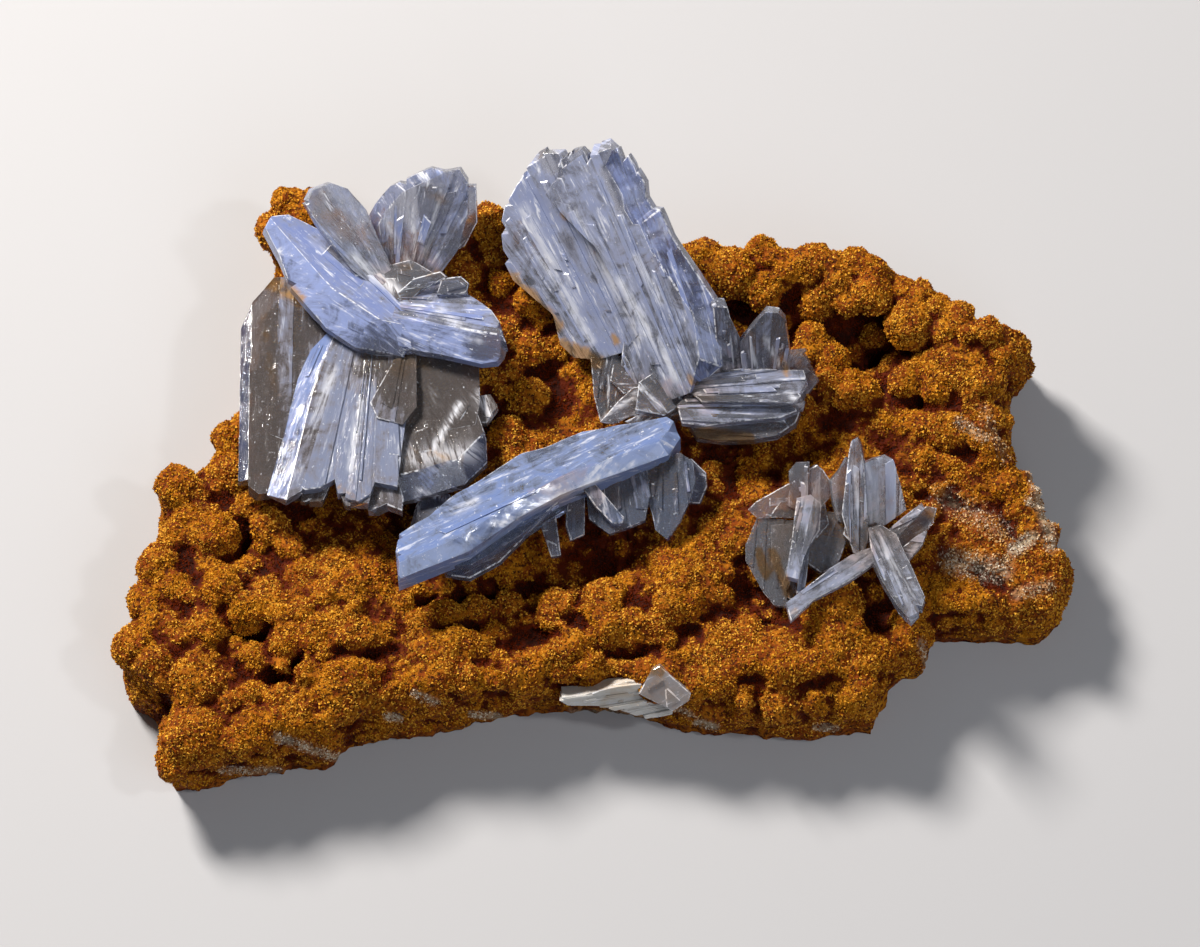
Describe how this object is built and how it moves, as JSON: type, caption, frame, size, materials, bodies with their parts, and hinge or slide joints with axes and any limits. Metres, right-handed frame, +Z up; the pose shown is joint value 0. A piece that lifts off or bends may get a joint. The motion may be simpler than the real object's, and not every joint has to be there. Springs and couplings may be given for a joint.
{
  "type": "barite crystal cluster on limonite",
  "caption": "Mineral specimen: clear blue tabular barite crystals standing in rosettes and blades on a knobbly orange-brown limonite crust with a flat back.",
  "frame": {"origin": "under the middle of the specimen's box, on the plane of its flat back", "axes": "+X along the specimen's length to the viewer's right, +Z up out of the crystal side, +Y away from the viewer"},
  "size_m": [0.1194, 0.0774, 0.0303],
  "materials": {
    "limonite": "matt granular ochre crust of knobs with dark red-brown hollows",
    "blue_barite": "clear to milky pale blue crystal with a glassy surface",
    "clear_barite": "clear lavender-grey crystal plates with a glassy surface",
    "grey_barite": "clear smoky grey-blue crystal prisms with a glassy surface",
    "white_barite": "white, fibrous, frosted broken crystal"
  },
  "bodies": {
    "root": {"limonite_matrix": "limonite", "upper_left_rosette": "blue_barite", "lower_left_blades": "clear_barite", "centre_rosette": "blue_barite", "long_blade_cluster": "blue_barite", "prism_cluster": "grey_barite", "edge_spar": "white_barite"}
  },
  "joints": []
}
